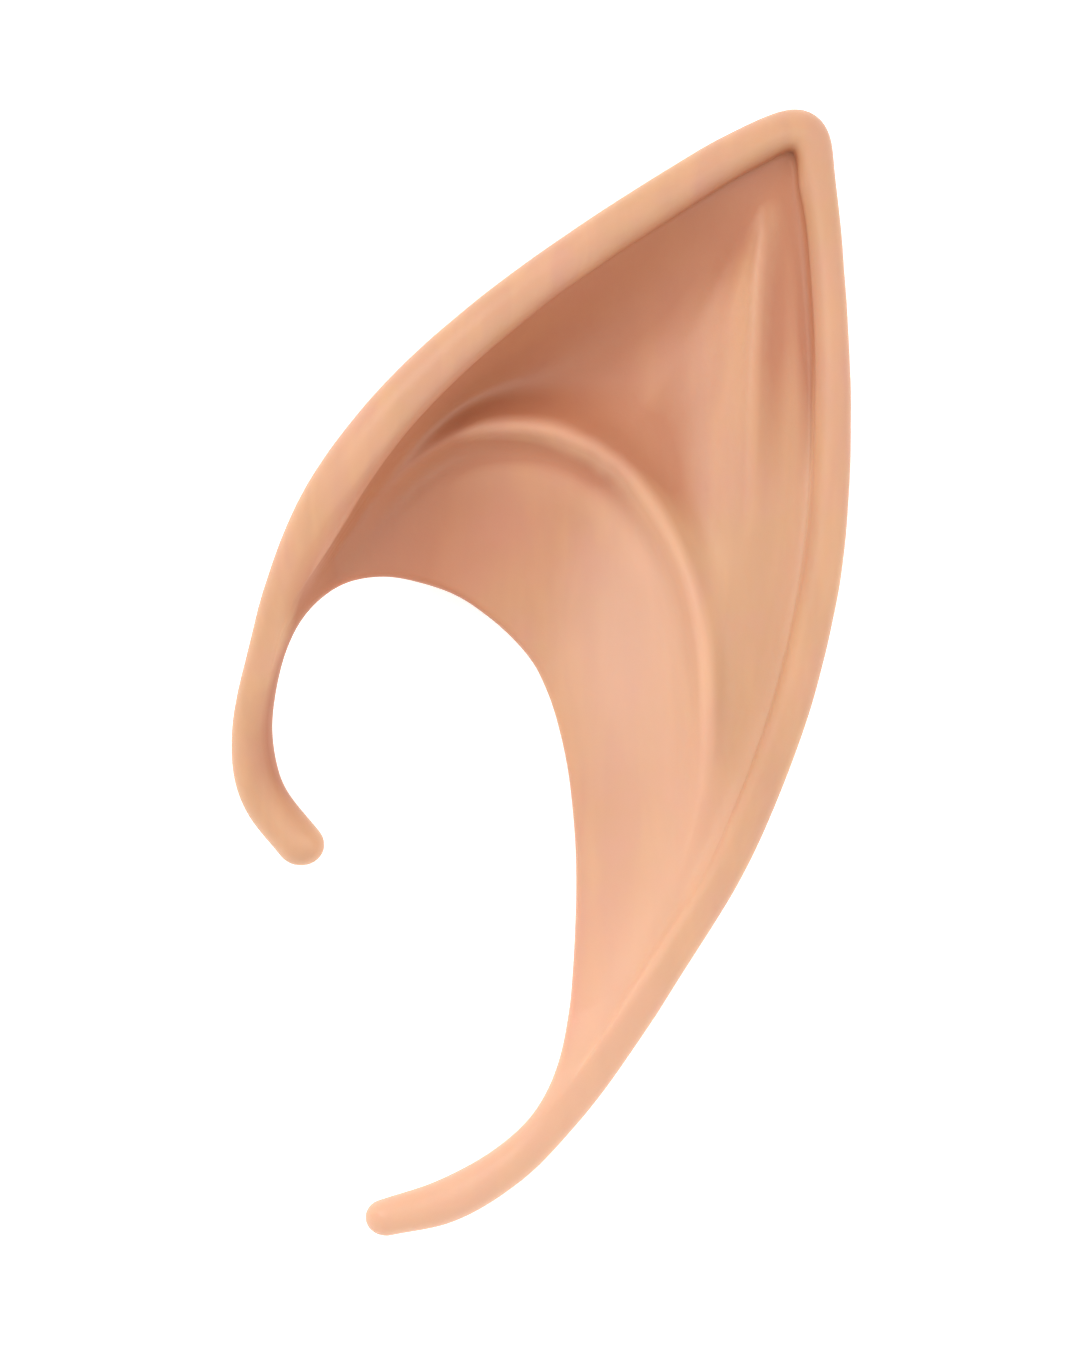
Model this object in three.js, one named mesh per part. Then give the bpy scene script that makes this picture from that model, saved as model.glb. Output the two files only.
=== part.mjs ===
import * as THREE from 'three';

// A latex elf ear that slips over a real ear, lying on its back with its face up. Millimetres, +Z up.
// +Y points to the tip, +X to the back of the head, and the origin is under the middle of its outline.

// Outer size
const earLength = 113.7;
const earWidth = 62.3;
const earDepth = 23;

// Latex
const wall = 1.7;
const rimThickness = 4.4;
const hookThickness = 4.7;

// Relief of the face, each line with its reach towards the opening and away from it
const ridgeHeight = 1.9;
const ridgeInside = 1.4;
const ridgeOutside = 2.3;
const ridgeGroove = 0.5;
const foldHeight = 2.1;
const foldInside = 6;
const foldOutside = 3.4;
const foldSharpness = 1.7;
const grooveDepth = 0.8;
const grooveWidth = 2;

// Pocket that takes the wearer's ear
const pocketBottom = 2.2;
const leastGap = 0.8;
const backLipRise = 0.4;

// How finely the skin is divided
const stepsPerRow = 4;
const capSteps = 3;
const conchaSteps = 5;
const ridgeInsideSteps = 3;
const ridgeOutsideSteps = 2;
const fossaSteps = 6;
const beadSteps = 7;
const backSteps = 8;
const pocketSteps = 8;
const bottomSteps = 4;
const noseSteps = 2;
const searchSteps = 200;

// How softly the forms run into each other, from row to row and across the face
const rowSoftness = 0.45;
const outlineSoftness = 0.18;
const faceSoftness = 1.1;

// Rim from the short hook over the tip to the lower hook, with the edge of the ear opening facing it.
// x and y are shares of earWidth and earLength, crest and edgeZ of earDepth, and bead of the thickness.
// hollow is 0 where the section is a solid hook and 1 where it is two skins with the pocket between.
const rimColumns = ['x', 'y', 'edgeX', 'edgeY', 'bead', 'crest', 'edgeZ', 'hollow'];
const rimRows = {
  hookEnd: [0.108, 0.352, 0.142, 0.361, 0.98, 0.235, 0.135, 0],
  hookBend: [0.047, 0.396, 0.082, 0.404, 1.00, 0.206, 0.104, 0],
  hookMiddle: [0.034, 0.454, 0.066, 0.455, 0.86, 0.350, 0.262, 0],
  hookNeck: [0.057, 0.516, 0.085, 0.512, 0.80, 0.550, 0.468, 0],
  hookRoot: [0.089, 0.575, 0.123, 0.554, 0.88, 0.745, 0.630, 0.2],
  rootRim: [0.149, 0.644, 0.178, 0.579, 1.16, 0.895, 0.570, 0.5],
  topLow: [0.232, 0.711, 0.247, 0.587, 1.18, 0.975, 0.500, 0.9],
  topMiddle: [0.336, 0.7725, 0.311, 0.581, 1.10, 1.000, 0.460, 1],
  topHigh: [0.485, 0.8405, 0.368, 0.569, 1.05, 0.975, 0.440, 1],
  topTip: [0.690, 0.917, 0.416, 0.551, 1.00, 0.870, 0.420, 1],
  shoulder: [0.854, 0.969, 0.442, 0.539, 1.00, 0.760, 0.400, 1],
  tip: [0.923, 0.978, 0.459, 0.530, 1.03, 0.700, 0.388, 1],
  tipBack: [0.945, 0.935, 0.475, 0.520, 0.82, 0.690, 0.372, 1],
  backTip: [0.961, 0.855, 0.495, 0.504, 0.77, 0.710, 0.345, 1],
  backHigh: [0.970, 0.741, 0.518, 0.474, 0.82, 0.740, 0.310, 1],
  backMiddle: [0.959, 0.616, 0.541, 0.425, 0.88, 0.740, 0.275, 1],
  backLow: [0.921, 0.506, 0.554, 0.370, 0.89, 0.680, 0.245, 1],
  backFoot: [0.866, 0.4125, 0.558, 0.312, 0.85, 0.610, 0.225, 1],
  armHigh: [0.793, 0.3225, 0.554, 0.254, 0.80, 0.515, 0.210, 0.8],
  arm: [0.700, 0.2415, 0.544, 0.195, 0.80, 0.420, 0.200, 0.5],
  armLow: [0.613, 0.170, 0.524, 0.148, 0.90, 0.325, 0.185, 0.25],
  armEnd: [0.533, 0.113, 0.488, 0.111, 0.90, 0.245, 0.153, 0],
  lowerHook: [0.456, 0.070, 0.427, 0.079, 0.96, 0.210, 0.110, 0],
  lowerBend: [0.351, 0.034, 0.334, 0.051, 0.99, 0.204, 0.102, 0],
  lowerEnd: [0.251, 0.020, 0.241, 0.034, 0.86, 0.215, 0.128, 0],
};

// Relief along each spoke from the opening's edge to the rim. ridgeAt, dipAt and foldAt are shares of the
// way to the rim's bead, lipAt and bellyAt of the whole spoke, and wallTop, dip and belly of earDepth.
// raised, fold and groove are shares of the ridge, the fold and the groove, and curl turns the rim inwards.
const reliefColumns = [
  'ridgeAt', 'raised', 'wallTop', 'dipAt', 'dip', 'foldAt', 'fold', 'groove', 'lipAt', 'bellyAt', 'belly', 'curl',
];
const reliefRows = {
  hookRoot: [0.60, 0.0, 0.680, 0.85, 0.700, 0.93, 0.0, 0.0, 0.50, 0.80, 0.580, 0.0],
  rootRim: [0.62, 0.0, 0.640, 0.82, 0.690, 0.93, 0.0, 0.0, 0.50, 0.75, 0.420, 0.5],
  topLow: [0.70, 0.2, 0.600, 0.83, 0.640, 0.93, 0.0, 0.0, 0.48, 0.68, 0.180, 0.9],
  topMiddle: [0.724, 0.7, 0.560, 0.84, 0.555, 0.93, 0.0, 0.0, 0.42, 0.62, 0.060, 1.0],
  topHigh: [0.598, 1.0, 0.545, 0.73, 0.470, 0.93, 0.0, 0.0, 0.30, 0.58, 0.020, 1.0],
  topTip: [0.458, 1.0, 0.545, 0.57, 0.445, 0.93, 0.0, 0.0, 0.22, 0.58, 0.010, 0.7],
  shoulder: [0.379, 1.0, 0.545, 0.55, 0.465, 0.93, 0.2, 0.0, 0.18, 0.60, 0.000, 0.3],
  tip: [0.360, 1.0, 0.545, 0.55, 0.480, 0.882, 0.5, 0.0, 0.17, 0.60, 0.000, 0.0],
  tipBack: [0.379, 1.0, 0.546, 0.56, 0.498, 0.816, 0.9, 0.3, 0.18, 0.60, 0.000, 0.0],
  backTip: [0.416, 1.0, 0.550, 0.56, 0.525, 0.766, 1.0, 0.8, 0.20, 0.60, 0.000, 0.0],
  backHigh: [0.486, 1.0, 0.558, 0.60, 0.545, 0.730, 1.0, 1.0, 0.24, 0.62, 0.000, 0.0],
  backMiddle: [0.557, 1.0, 0.550, 0.68, 0.555, 0.720, 0.6, 0.8, 0.30, 0.66, 0.010, 0.0],
  backLow: [0.620, 0.8, 0.500, 0.76, 0.535, 0.76, 0.1, 0.4, 0.36, 0.68, 0.030, 0.0],
  backFoot: [0.700, 0.4, 0.440, 0.82, 0.475, 0.82, 0.0, 0.1, 0.42, 0.70, 0.060, 0.0],
  armHigh: [0.72, 0.0, 0.360, 0.86, 0.400, 0.82, 0.0, 0.0, 0.44, 0.72, 0.095, 0.0],
  arm: [0.66, 0.0, 0.290, 0.84, 0.330, 0.82, 0.0, 0.0, 0.46, 0.75, 0.110, 0.0],
  armLow: [0.60, 0.0, 0.230, 0.84, 0.255, 0.82, 0.0, 0.0, 0.50, 0.80, 0.105, 0.0],
};

// Shares that shape a section
const hookBeadStart = 0.62;
const curledStart = 0.14;
const leastFoot = 0.3;
const leastPanel = 0.4;
const conchaClimb = 0.38;
const nearestDip = 0.3;
const farthestDip = 0.8;
const farthestLip = 0.6;
const bellyRoundness = 0.62;
const leastSoftening = 0.08;
const liftPower = 6;
const leastSpokeTurn = 0.5;

const latex = new THREE.MeshStandardMaterial({ color: 0xdca587, roughness: 0.5, metalness: 0 });

const mix = (a, b, t) => a + (b - a) * t;
const clamp = (x, low, high) => Math.min(Math.max(x, low), high);
const spread = (count, from, to) => Array.from({ length: count }, (_, i) => mix(from, to, i / count));

// Smooth curve through keys that never overshoots them, and runs on straight past both ends
function steadyCurve(at, values) {
  const count = at.length;
  const slopes = at.slice(1).map((x, i) => (values[i + 1] - values[i]) / (x - at[i]));
  const tangents = values.map((value, i) => {
    if (i === 0) return slopes[0];
    if (i === count - 1) return slopes[count - 2];
    const [before, after] = [slopes[i - 1], slopes[i]];
    return before * after <= 0 ? 0 : (2 * before * after) / (before + after);
  });
  return (x) => {
    const inside = clamp(x, at[0], at[count - 1]);
    let i = 0;
    while (i < count - 2 && inside > at[i + 1]) i += 1;
    const width = at[i + 1] - at[i];
    const t = (inside - at[i]) / width;
    const eased = mix(values[i], values[i + 1], t * t * (3 - 2 * t));
    const bend = width * t * (1 - t) * (tangents[i] * (1 - t) - tangents[i + 1] * t);
    const beyond = (x < at[0] ? tangents[0] : tangents[count - 1]) * (x - inside);
    return eased + bend + beyond;
  };
}

const shifts = [-2, -1.5, -1, -0.5, 0, 0.5, 1, 1.5, 2];
const bells = shifts.map((shift) => Math.exp(-(shift ** 2) / 2));
const bellSum = bells.reduce((sum, bell) => sum + bell);

// The curve averaged over a short stretch, which takes out its kinks
function softened(curve, stretch) {
  return (x) => shifts.reduce((sum, shift, i) => sum + (bells[i] / bellSum) * curve(x + shift * stretch), 0);
}

const rowNames = Object.keys(rimRows);
const lastRow = rowNames.length - 1;

// One soft curve for each column, over the rim's rows
function columnCurves(columns, rows) {
  const names = Object.keys(rows);
  const at = names.map((name) => rowNames.indexOf(name));
  return Object.fromEntries(columns.map((column, i) => {
    const values = names.map((name) => rows[name][i]);
    return [column, softened(steadyCurve(at, values), rowSoftness)];
  }));
}

const rimCurves = columnCurves(rimColumns, rimRows);
const reliefCurves = columnCurves(reliefColumns, reliefRows);

// Plan curve of the rim or of the opening's edge, one step to a row, running on straight past both ends
function planCurve(xColumn, yColumn) {
  const [x, y] = [rimColumns.indexOf(xColumn), rimColumns.indexOf(yColumn)];
  const points = Object.values(rimRows).map((row) =>
    new THREE.Vector3((row[x] - 0.5) * earWidth, (row[y] - 0.5) * earLength, 0));
  const curve = new THREE.CatmullRomCurve3(points, false, 'centripetal');
  const startWay = points[1].clone().sub(points[0]);
  const endWay = points[lastRow].clone().sub(points[lastRow - 1]);
  return (place) => {
    const sum = new THREE.Vector3();
    shifts.forEach((shift, i) => {
      const at = place + shift * outlineSoftness;
      const inside = clamp(at, 0, lastRow);
      const point = curve.getPoint(inside / lastRow).addScaledVector(at < 0 ? startWay : endWay, at - inside);
      sum.addScaledVector(point, bells[i] / bellSum);
    });
    return sum;
  };
}

const rimCurve = planCurve('x', 'y');
const edgeCurve = planCurve('edgeX', 'edgeY');

// Everything that one section needs, at a place counted in rows of the rim table
function sectionAt(place) {
  const rim = rimCurve(place);
  const edge = edgeCurve(place);
  const nearby = 0.02;
  const tangent = rimCurve(place + nearby).sub(rimCurve(place - nearby)).normalize();
  const outward = new THREE.Vector3(-tangent.y, tangent.x, 0);
  const spoke = rim.clone().sub(edge);
  const span = spoke.length();
  spoke.divideScalar(span);
  const hollow = clamp(rimCurves.hollow(place), 0, 1);
  const radius = (rimCurves.bead(place) * mix(hookThickness, rimThickness, hollow)) / 2;
  const stretch = 1 / clamp(spoke.dot(outward), leastSpokeTurn, 1);
  const crest = rimCurves.crest(place) * earDepth;
  const edgeZ = rimCurves.edgeZ(place) * earDepth;
  const inside = clamp(place, rowNames.indexOf('hookRoot'), rowNames.indexOf('armLow'));
  const relief = Object.fromEntries(reliefColumns.map((name) => [name, reliefCurves[name](inside)]));
  const opened = clamp(2 * hollow - 1, 0, 1);
  const beadStart = Math.PI * (mix(hookBeadStart, 1, hollow) + curledStart * relief.curl);
  const foot = Math.max(span + Math.cos(beadStart) * radius * stretch, leastFoot * span);
  const footZ = crest - radius + Math.sin(beadStart) * radius;
  const panel = Math.max(span - radius, leastPanel * span);
  const ridge = Math.max(relief.ridgeAt * panel, Math.min(mix(wall / 2, foot, 0.5), wall));
  const lip = Math.min(relief.lipAt * span, farthestLip * (span - wall / 2));
  return {
    rim, edge, tangent, outward, spoke, span, hollow, opened, radius, stretch, relief, crest, edgeZ,
    beadStart, foot, footZ, panel, ridge, lip,
  };
}

// Soft swelling with its own reach on each side
const bump = (distance, before, after, sharpness = 2) =>
  Math.exp(-(Math.abs(distance / (distance < 0 ? before : after)) ** sharpness));

// Height of the face without its raised lines
function coreFace(section) {
  const { relief, panel, ridge, foot, edgeZ, footZ, span } = section;
  const wallTop = relief.wallTop * earDepth;
  const dipAt = clamp(relief.dipAt * panel, mix(ridge, foot, nearestDip), mix(ridge, foot, farthestDip));
  const heights = [edgeZ, mix(edgeZ, wallTop, conchaClimb), wallTop, relief.dip * earDepth, footZ];
  const keyed = steadyCurve([0, ridge / 2, ridge, dipAt, foot], heights);
  const curve = softened(keyed, Math.min(faceSoftness, leastSoftening * span));
  const lift = footZ - curve(foot);
  return (q) => curve(q) + lift * clamp(q / foot, 0, 1) ** liftPower;
}

// The ridge with the faint groove on its inner side, the broad fold beyond it and the groove along the rim
function raisedLines(section, q) {
  const { relief, panel, ridge, foot } = section;
  const line = ridgeHeight * bump(q - ridge, ridgeInside, ridgeOutside)
    - ridgeGroove * bump(q - ridge + 2 * ridgeInside, ridgeInside, ridgeInside);
  const fold = foldHeight * bump(q - relief.foldAt * panel, foldInside, foldOutside, foldSharpness);
  const groove = grooveDepth * bump(q - foot + grooveWidth / 3, grooveWidth, grooveWidth);
  return relief.raised * line + relief.fold * fold - relief.groove * groove;
}

// Height of the back's outside, from its lip over the belly to the underside of the rim
function backSkin(section) {
  const { relief, span, crest, radius, lip } = section;
  const belly = relief.bellyAt * span;
  const low = relief.belly * earDepth;
  const under = crest - 2 * radius;
  return (q) => {
    if (q < belly) return low + backLipRise * ((belly - q) / (belly - lip)) ** 2;
    const x = clamp((q - belly) / (span - belly), 0, 1);
    return mix(low, under, 1 - (1 - x ** 2) ** bellyRoundness);
  };
}

// Height of a skin's inner side, one wall away from its outer side in every direction.
// side is 1 above the outer side and -1 below it.
function innerSide(section, height, side, q) {
  const reach = wall * mix(1, section.stretch, clamp(q / section.span, 0, 1));
  const heights = [-1, -0.75, -0.5, -0.25, 0, 0.25, 0.5, 0.75, 1].map((share) =>
    side * height(q + share * reach) + wall * Math.sqrt(1 - share ** 2));
  return side * Math.max(...heights);
}

// The pocket between the skins: its roof, its floor and its end under the rim
function pocketOf(section) {
  const { span, stretch, lip } = section;
  const core = coreFace(section);
  const back = backSkin(section);
  const grooved = (q) => core(q) + Math.min(raisedLines(section, q), 0);
  const floor = (q) => innerSide(section, back, 1, q);
  const under = (q) => innerSide(section, grooved, -1, q);
  const roof = (q) => (q < lip ? under(q) : Math.max(under(q), floor(q) + leastGap));
  const nearest = lip + 2 * leastGap;
  const deepest = Math.max(span - wall * stretch - pocketBottom / 2, nearest);
  let end = deepest;
  while (end > nearest && roof(end) - floor(end) < pocketBottom) end -= (deepest - nearest) / searchSteps;
  return { core, back, roof, floor, end };
}

// Half-round edge of a skin, one wall thick, from its inner side round to its outer side
function nose(q, height) {
  return Array.from({ length: noseSteps + 1 }, (_, i) => {
    const turn = Math.PI * mix(1.5, 0.5, i / noseSteps);
    return [q + (wall / 2) * (1 + Math.cos(turn)), height + (wall / 2) * Math.sin(turn)];
  });
}

const noseMiddle = noseSteps / 2;

// The side of a section that faces the wearer: floor, bottom and roof of the pocket.
// As the section closes into a hook, it is drawn out to a straight line across the pocket's mouth.
function innerLoop(section, pocket, backNose, frontNose) {
  const { roof, floor, end } = pocket;
  const half = wall / 2;
  const floorAt = spread(pocketSteps, 0, 1).slice(1).map((t) =>
    mix(section.lip + half, end, Math.sin((t * Math.PI) / 2)));
  const low = floor(end);
  const depth = (roof(end) - low) / 2;
  const reach = Math.min(depth, pocketBottom / 2);
  const bottom = Array.from({ length: bottomSteps + 1 }, (_, i) => {
    const turn = Math.PI * (i / bottomSteps - 0.5);
    return [end + reach * Math.cos(turn), low + depth * (1 + Math.sin(turn))];
  });
  const roofAt = spread(pocketSteps + 2, end, half).slice(1);
  const points = [
    ...backNose.slice(noseMiddle + 1),
    ...floorAt.map((q) => [q, floor(q)]),
    ...bottom,
    ...roofAt.map((q) => [q, roof(q)]),
    ...frontNose.slice(0, noseMiddle),
  ];
  const [from, to] = [backNose[noseMiddle], frontNose[noseMiddle]];
  return points.map((point, i) => {
    const across = (i + 1) / (points.length + 1);
    return point.map((value, axis) => mix(mix(from[axis], to[axis], across), value, section.opened));
  });
}

// Closed outline of a section with two skins, as distances along the spoke and heights
function skinLoop(section) {
  const { span, radius, ridge, foot, lip, crest, stretch, beadStart } = section;
  const pocket = pocketOf(section);
  const half = wall / 2;
  const ridgeStart = Math.max(ridge - 3 * ridgeInside, mix(half, ridge, 0.5));
  const ridgeEnd = Math.min(ridge + 2 * ridgeOutside, mix(ridge, foot, 0.4));
  const faceAt = [
    ...spread(conchaSteps, half, ridgeStart).slice(1),
    ...spread(ridgeInsideSteps, ridgeStart, ridge),
    ...spread(ridgeOutsideSteps, ridge, ridgeEnd),
    ...spread(fossaSteps, ridgeEnd, foot),
  ];
  const angles = spread(beadSteps, beadStart, -Math.PI / 2);
  const bead = angles.map((angle) => {
    const reach = Math.cos(angle) * radius;
    return [span + reach * (reach < 0 ? stretch : 1), crest - radius + Math.sin(angle) * radius];
  });
  const backAt = spread(backSteps, 1, 0).map((t) => mix(lip + half, span, Math.sin((t * Math.PI) / 2)));
  const frontNose = nose(0, pocket.core(half) - half);
  const backNose = nose(lip, pocket.back(lip + half) + half);
  const face = faceAt.map((q) => [q, pocket.core(q) + raisedLines(section, q)]);
  const top = [...frontNose.slice(noseMiddle), ...face];
  const outer = [
    ...top,
    ...bead,
    ...backAt.map((q) => [q, pocket.back(q)]),
    ...backNose.slice(0, noseMiddle + 1),
  ];
  return {
    points: [...outer, ...innerLoop(section, pocket, backNose, frontNose)],
    topCount: top.length + angles.filter((angle) => angle >= 0).length,
    outerCount: outer.length,
  };
}

// Closed outline of a solid hook, its points as far along the spoke as those of the two skins
function hookLoop(section, skins) {
  const { span, radius, crest, edgeZ } = section;
  const reach = (span + radius) / 2;
  const turns = skins.points.map(([q], i) => {
    const turn = Math.acos(clamp((q - reach) / reach, -1, 1));
    return i < skins.topCount ? turn : -turn;
  });
  const innerCount = turns.length - skins.outerCount;
  return turns.map((turn, i) => {
    const inner = (i - skins.outerCount + 1) / (innerCount + 1);
    const angle = inner > 0 ? mix(turns[skins.outerCount - 1], -Math.PI, inner) : turn;
    const q = reach + reach * Math.cos(angle);
    const middle = mix(edgeZ, crest - radius, clamp(q / span, 0, 1));
    return [q, middle + radius * Math.sin(angle)];
  });
}

function sectionPoints(section) {
  const skins = skinLoop(section);
  const share = Math.min(2 * section.hollow, 1);
  return hookLoop(section, skins).map(([q, z], i) => {
    const along = mix(q, skins.points[i][0], share);
    const height = mix(z, skins.points[i][1], share);
    const beyond = Math.max(along - section.span, 0);
    return section.edge.clone()
      .addScaledVector(section.spoke, along - beyond)
      .addScaledVector(section.outward, beyond)
      .setZ(height);
  });
}

// Round end of a hook: its last section, shrunk and carried on along the rim
function capRings(place, forward) {
  const { edge, rim, outward, tangent, radius, crest } = sectionAt(place);
  const points = sectionPoints(sectionAt(place));
  const centre = edge.clone().add(rim).addScaledVector(outward, radius).divideScalar(2).setZ(crest - radius);
  const rings = [];
  for (let i = 1; i <= capSteps; i += 1) {
    const angle = (i / (capSteps + 1)) * (Math.PI / 2);
    const middle = centre.clone().addScaledVector(tangent, forward * radius * Math.sin(angle));
    rings.push(points.map((p) => p.clone().sub(centre).multiplyScalar(Math.cos(angle)).add(middle)));
  }
  const pole = centre.clone().addScaledVector(tangent, forward * radius);
  return { rings, pole };
}

// One closed skin through all rings, with a fan to the pole at each end
function loft(rings, startPole, endPole) {
  const positions = rings.flat().concat([startPole, endPole]).flatMap((p) => [p.x, p.y, p.z]);
  const loopCount = rings[0].length;
  const index = [];
  const vertex = (ring, i) => ring * loopCount + (i % loopCount);
  for (let ring = 0; ring < rings.length - 1; ring += 1) {
    for (let i = 0; i < loopCount; i += 1) {
      const [a, b] = [vertex(ring, i), vertex(ring, i + 1)];
      const [c, d] = [vertex(ring + 1, i), vertex(ring + 1, i + 1)];
      index.push(a, c, b, b, c, d);
    }
  }
  const start = rings.length * loopCount;
  for (let i = 0; i < loopCount; i += 1) {
    index.push(start, vertex(0, i), vertex(0, i + 1));
    index.push(start + 1, vertex(rings.length - 1, i + 1), vertex(rings.length - 1, i));
  }
  const geometry = new THREE.BufferGeometry();
  geometry.setAttribute('position', new THREE.Float32BufferAttribute(positions, 3));
  geometry.setIndex(index);
  geometry.computeVertexNormals();
  return geometry;
}

function earShell() {
  const places = Array.from({ length: lastRow * stepsPerRow + 1 }, (_, i) => i / stepsPerRow);
  const body = places.map((place) => sectionPoints(sectionAt(place)));
  const start = capRings(0, -1);
  const end = capRings(lastRow, 1);
  const rings = [...start.rings.reverse(), ...body, ...end.rings];
  const mesh = new THREE.Mesh(loft(rings, start.pole, end.pole), latex);
  mesh.name = 'ear_shell';
  return mesh;
}

const elfEar = new THREE.Group();
elfEar.add(earShell());

export default elfEar;
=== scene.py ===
import math
from types import SimpleNamespace

import bpy
import numpy as np
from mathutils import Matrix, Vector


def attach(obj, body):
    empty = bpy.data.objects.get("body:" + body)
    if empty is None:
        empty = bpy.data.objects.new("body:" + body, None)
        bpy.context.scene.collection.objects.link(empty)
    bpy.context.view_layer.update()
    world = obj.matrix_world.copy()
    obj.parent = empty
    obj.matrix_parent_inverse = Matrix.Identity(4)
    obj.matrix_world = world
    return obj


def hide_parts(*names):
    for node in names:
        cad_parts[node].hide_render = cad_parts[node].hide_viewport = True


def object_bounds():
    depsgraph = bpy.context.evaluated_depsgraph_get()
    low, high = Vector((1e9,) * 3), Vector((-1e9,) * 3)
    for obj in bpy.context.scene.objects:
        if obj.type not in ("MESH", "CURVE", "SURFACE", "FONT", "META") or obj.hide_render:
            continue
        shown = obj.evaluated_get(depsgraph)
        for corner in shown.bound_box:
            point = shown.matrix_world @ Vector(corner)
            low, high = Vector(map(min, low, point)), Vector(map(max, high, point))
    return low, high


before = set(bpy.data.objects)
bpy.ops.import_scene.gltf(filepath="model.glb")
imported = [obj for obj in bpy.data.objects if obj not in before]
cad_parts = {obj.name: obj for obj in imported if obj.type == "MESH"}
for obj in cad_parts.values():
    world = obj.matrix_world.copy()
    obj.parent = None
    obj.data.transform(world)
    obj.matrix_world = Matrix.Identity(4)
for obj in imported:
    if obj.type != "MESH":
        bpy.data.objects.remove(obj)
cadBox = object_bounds()
print("frame loaded")

mm = 0.001  # the ear is worked out in millimetres, and Blender takes metres

# What a user would change on the ear, in millimetres
ear = {
    "length": 113.7,
    "width": 62.3,
    "depth": 23.0,
    "wall": 1.7,
    "rimThickness": 4.4,
    "hookThickness": 4.7,
    "ridgeHeight": 1.9,
    "ridgeInside": 1.4,
    "ridgeOutside": 2.3,
    "ridgeGroove": 0.5,
    "foldHeight": 2.1,
    "foldInside": 6.0,
    "foldOutside": 3.4,
    "foldSharpness": 1.7,  # no length: 2 is a soft bell and 1 a pointed crest
    "grooveDepth": 0.8,
    "grooveWidth": 2.0,
    "pocketBottom": 2.2,
    "leastGap": 0.8,
    "backLipRise": 0.4,
}

# How finely the skin is divided, and how softly its forms run into each other
mesh = {
    "stepsPerRow": 14,
    "capSteps": 8,
    "conchaSteps": 20,
    "ridgeSteps": 22,
    "fossaSteps": 30,
    "beadSteps": 26,
    "backSteps": 30,
    "pocketSteps": 26,
    "bottomSteps": 8,
    "noseSteps": 8,
    "tableSteps": 400,
    "searchSteps": 200,
    "softSteps": 9,
    "wallSteps": 9,
    "tangentReach": 0.02,  # in rows
    "rowSoftness": 0.45,  # in rows
    "outlineSoftness": 0.18,  # in rows
    "faceSoftness": 1.1,  # in millimetres
}

# Shares that keep a section sound at any size. The first two are shares of a half turn.
shares = {
    "hookBeadStart": 0.62,
    "curledStart": 0.14,
    "leastFoot": 0.3,
    "leastPanel": 0.4,
    "leastSpokeTurn": 0.5,  # cosine of the widest angle between a spoke and the rim's outward side
    "farthestLip": 0.6,
    "conchaClimb": 0.38,
    "nearestDip": 0.3,
    "farthestDip": 0.8,
    "mostSoftening": 0.08,
    "ridgeReach": 0.4,
    "liftPower": 6,  # this one and the next are powers
    "bellyRoundness": 0.62,
}

# Rim from the short hook over the tip to the lower hook, with the edge of the ear opening facing it.
# x and y are shares of the width and length, crest and edgeZ of the depth, bead of the thickness.
# hollow is 0 where the section is a solid hook and 1 where it is two skins with the pocket between.
rimColumns = ["x", "y", "edgeX", "edgeY", "bead", "crest", "edgeZ", "hollow"]
rimRows = {
    "hookEnd": [0.108, 0.352, 0.142, 0.361, 0.98, 0.235, 0.135, 0],
    "hookBend": [0.047, 0.396, 0.082, 0.404, 1.00, 0.206, 0.104, 0],
    "hookMiddle": [0.034, 0.454, 0.066, 0.455, 0.86, 0.350, 0.262, 0],
    "hookNeck": [0.057, 0.516, 0.085, 0.512, 0.80, 0.550, 0.468, 0],
    "hookRoot": [0.089, 0.575, 0.123, 0.554, 0.88, 0.745, 0.630, 0.2],
    "rootRim": [0.149, 0.644, 0.178, 0.579, 1.16, 0.895, 0.570, 0.5],
    "topLow": [0.232, 0.711, 0.247, 0.587, 1.18, 0.975, 0.500, 0.9],
    "topMiddle": [0.336, 0.7725, 0.311, 0.581, 1.10, 1.000, 0.460, 1],
    "topHigh": [0.485, 0.8405, 0.368, 0.569, 1.05, 0.975, 0.440, 1],
    "topTip": [0.690, 0.917, 0.416, 0.551, 1.00, 0.870, 0.420, 1],
    "shoulder": [0.854, 0.969, 0.442, 0.539, 1.00, 0.760, 0.400, 1],
    "tip": [0.923, 0.978, 0.459, 0.530, 1.03, 0.700, 0.388, 1],
    "tipBack": [0.945, 0.935, 0.475, 0.520, 0.82, 0.690, 0.372, 1],
    "backTip": [0.961, 0.855, 0.495, 0.504, 0.77, 0.710, 0.345, 1],
    "backHigh": [0.970, 0.741, 0.518, 0.474, 0.82, 0.740, 0.310, 1],
    "backMiddle": [0.959, 0.616, 0.541, 0.425, 0.88, 0.740, 0.275, 1],
    "backLow": [0.921, 0.506, 0.554, 0.370, 0.89, 0.680, 0.245, 1],
    "backFoot": [0.866, 0.4125, 0.558, 0.312, 0.85, 0.610, 0.225, 1],
    "armHigh": [0.793, 0.3225, 0.554, 0.254, 0.80, 0.515, 0.210, 0.8],
    "arm": [0.700, 0.2415, 0.544, 0.195, 0.80, 0.420, 0.200, 0.5],
    "armLow": [0.613, 0.170, 0.524, 0.148, 0.90, 0.325, 0.185, 0.25],
    "armEnd": [0.533, 0.113, 0.488, 0.111, 0.90, 0.245, 0.153, 0],
    "lowerHook": [0.456, 0.070, 0.427, 0.079, 0.96, 0.210, 0.110, 0],
    "lowerBend": [0.351, 0.034, 0.334, 0.051, 0.99, 0.204, 0.102, 0],
    "lowerEnd": [0.251, 0.020, 0.241, 0.034, 0.86, 0.215, 0.128, 0],
}

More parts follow.
